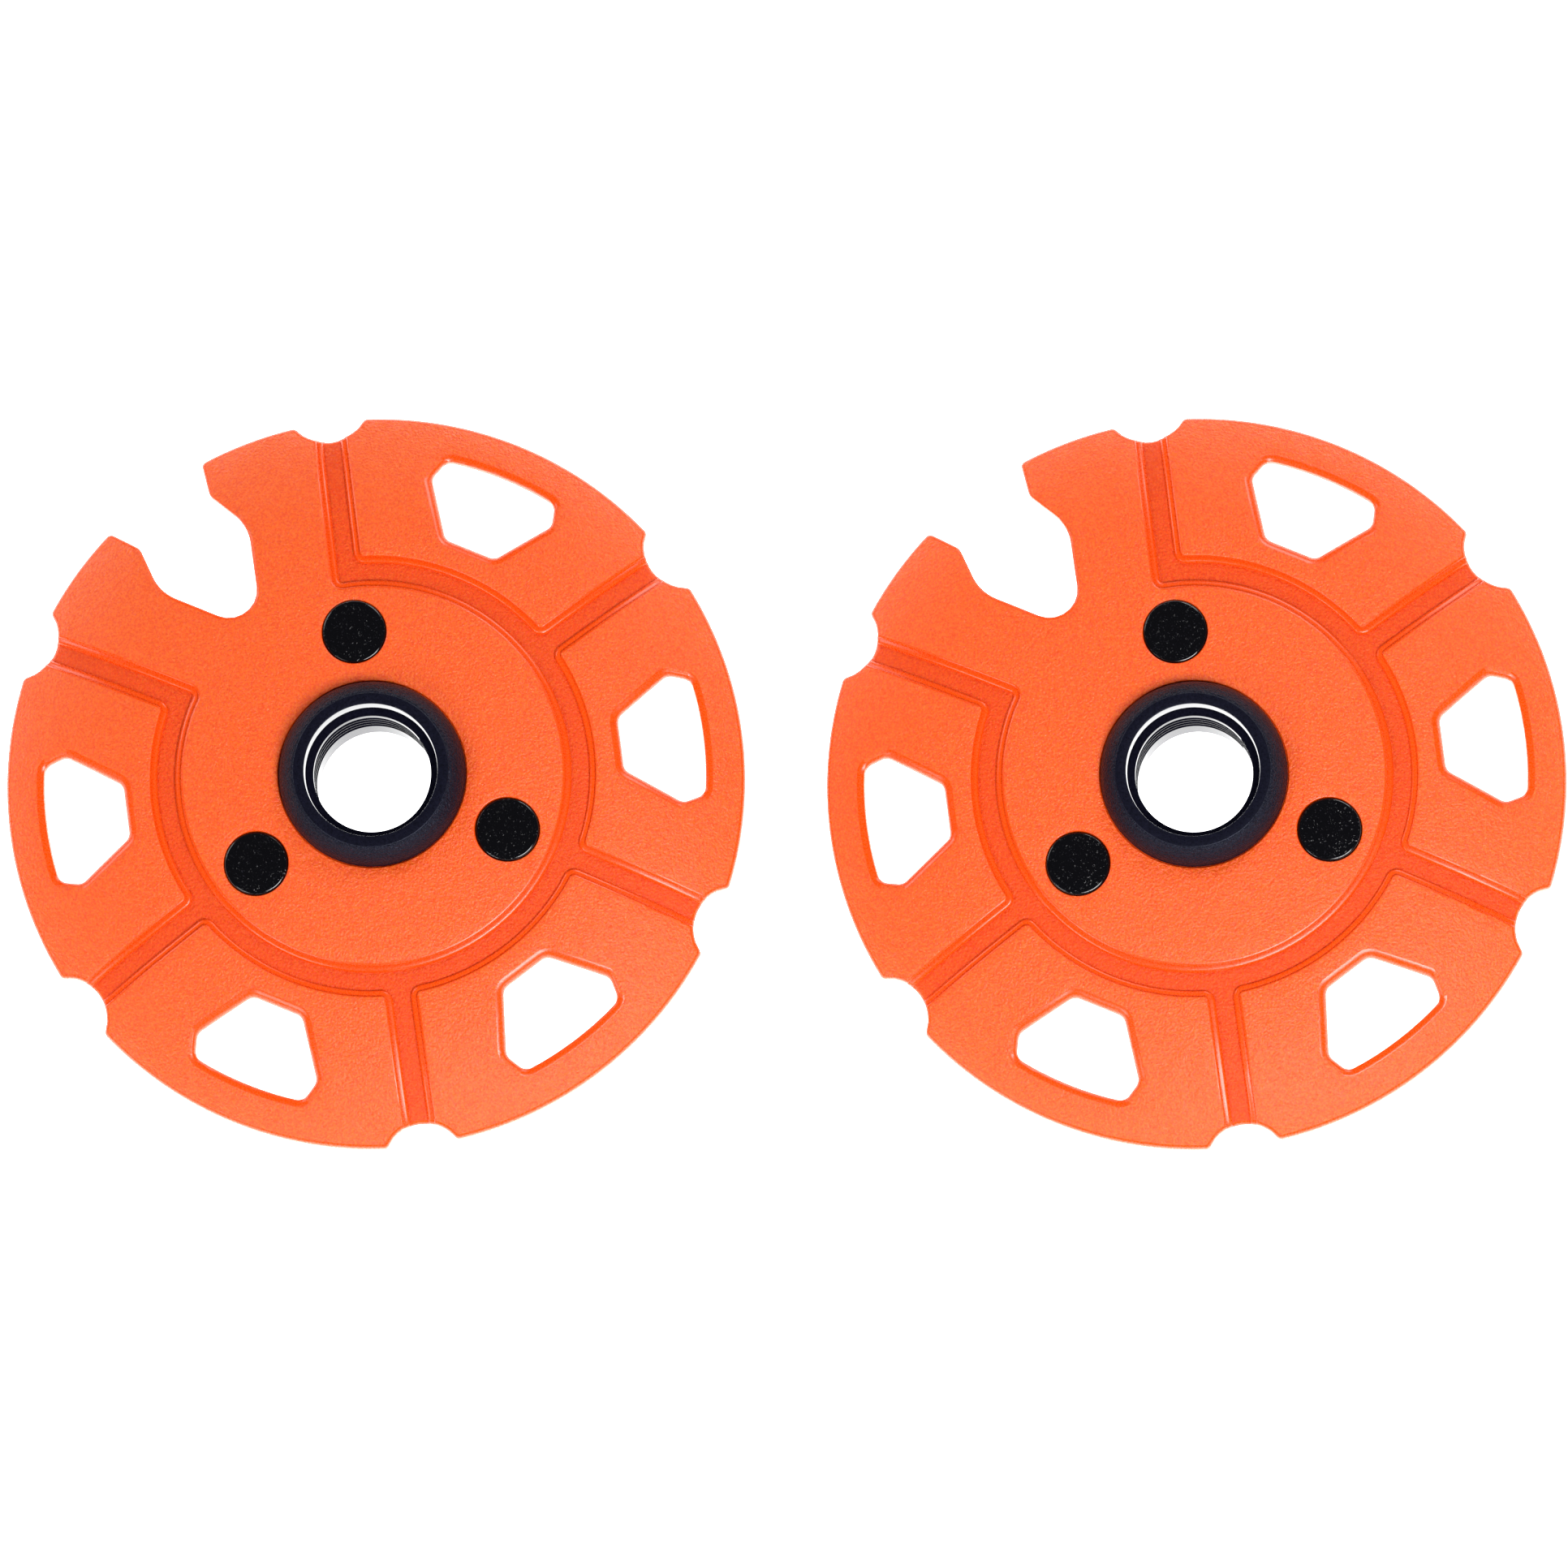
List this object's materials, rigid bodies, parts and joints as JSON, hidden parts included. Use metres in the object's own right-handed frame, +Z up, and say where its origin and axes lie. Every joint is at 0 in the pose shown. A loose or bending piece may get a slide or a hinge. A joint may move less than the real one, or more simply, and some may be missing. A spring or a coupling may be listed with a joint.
{
  "type": "pair of screw-on powder baskets for ski touring poles",
  "caption": "Pair of domed orange snow baskets for touring poles, with windows, scalloped rims, a hook notch, black threaded hubs and magnets set in the plateau.",
  "frame": {"origin": "on the table, midway between the two baskets: the middle of the bounding box's bottom", "axes": "+X runs from the left basket to the right one, +Z points up along the hubs, towards the flange side, and +Y completes the frame"},
  "size_m": [0.211, 0.1, 0.0174],
  "materials": {
    "orange_plastic": "fine spark-eroded grain with a soft sheen",
    "black_plastic": "grained on the flange's slope, smooth on its top ring, glossy in the bore",
    "dark_steel": "phosphated spring steel",
    "magnet_coating": "glossy black coating with small pits"
  },
  "bodies": {
    "left_basket": {"left_disc": "orange_plastic", "left_hub": "black_plastic", "left_retaining_ring": "dark_steel", "left_magnet_1": "magnet_coating", "left_magnet_2": "magnet_coating", "left_magnet_3": "magnet_coating"},
    "right_basket": {"right_disc": "orange_plastic", "right_hub": "black_plastic", "right_retaining_ring": "dark_steel", "right_magnet_1": "magnet_coating", "right_magnet_2": "magnet_coating", "right_magnet_3": "magnet_coating"}
  },
  "joints": [
    {"name": "right_basket_lift", "type": "slide", "parent": "left_basket", "child": "right_basket", "axis": [0, 0, 1], "range_m": [0, 0.04]}
  ]
}
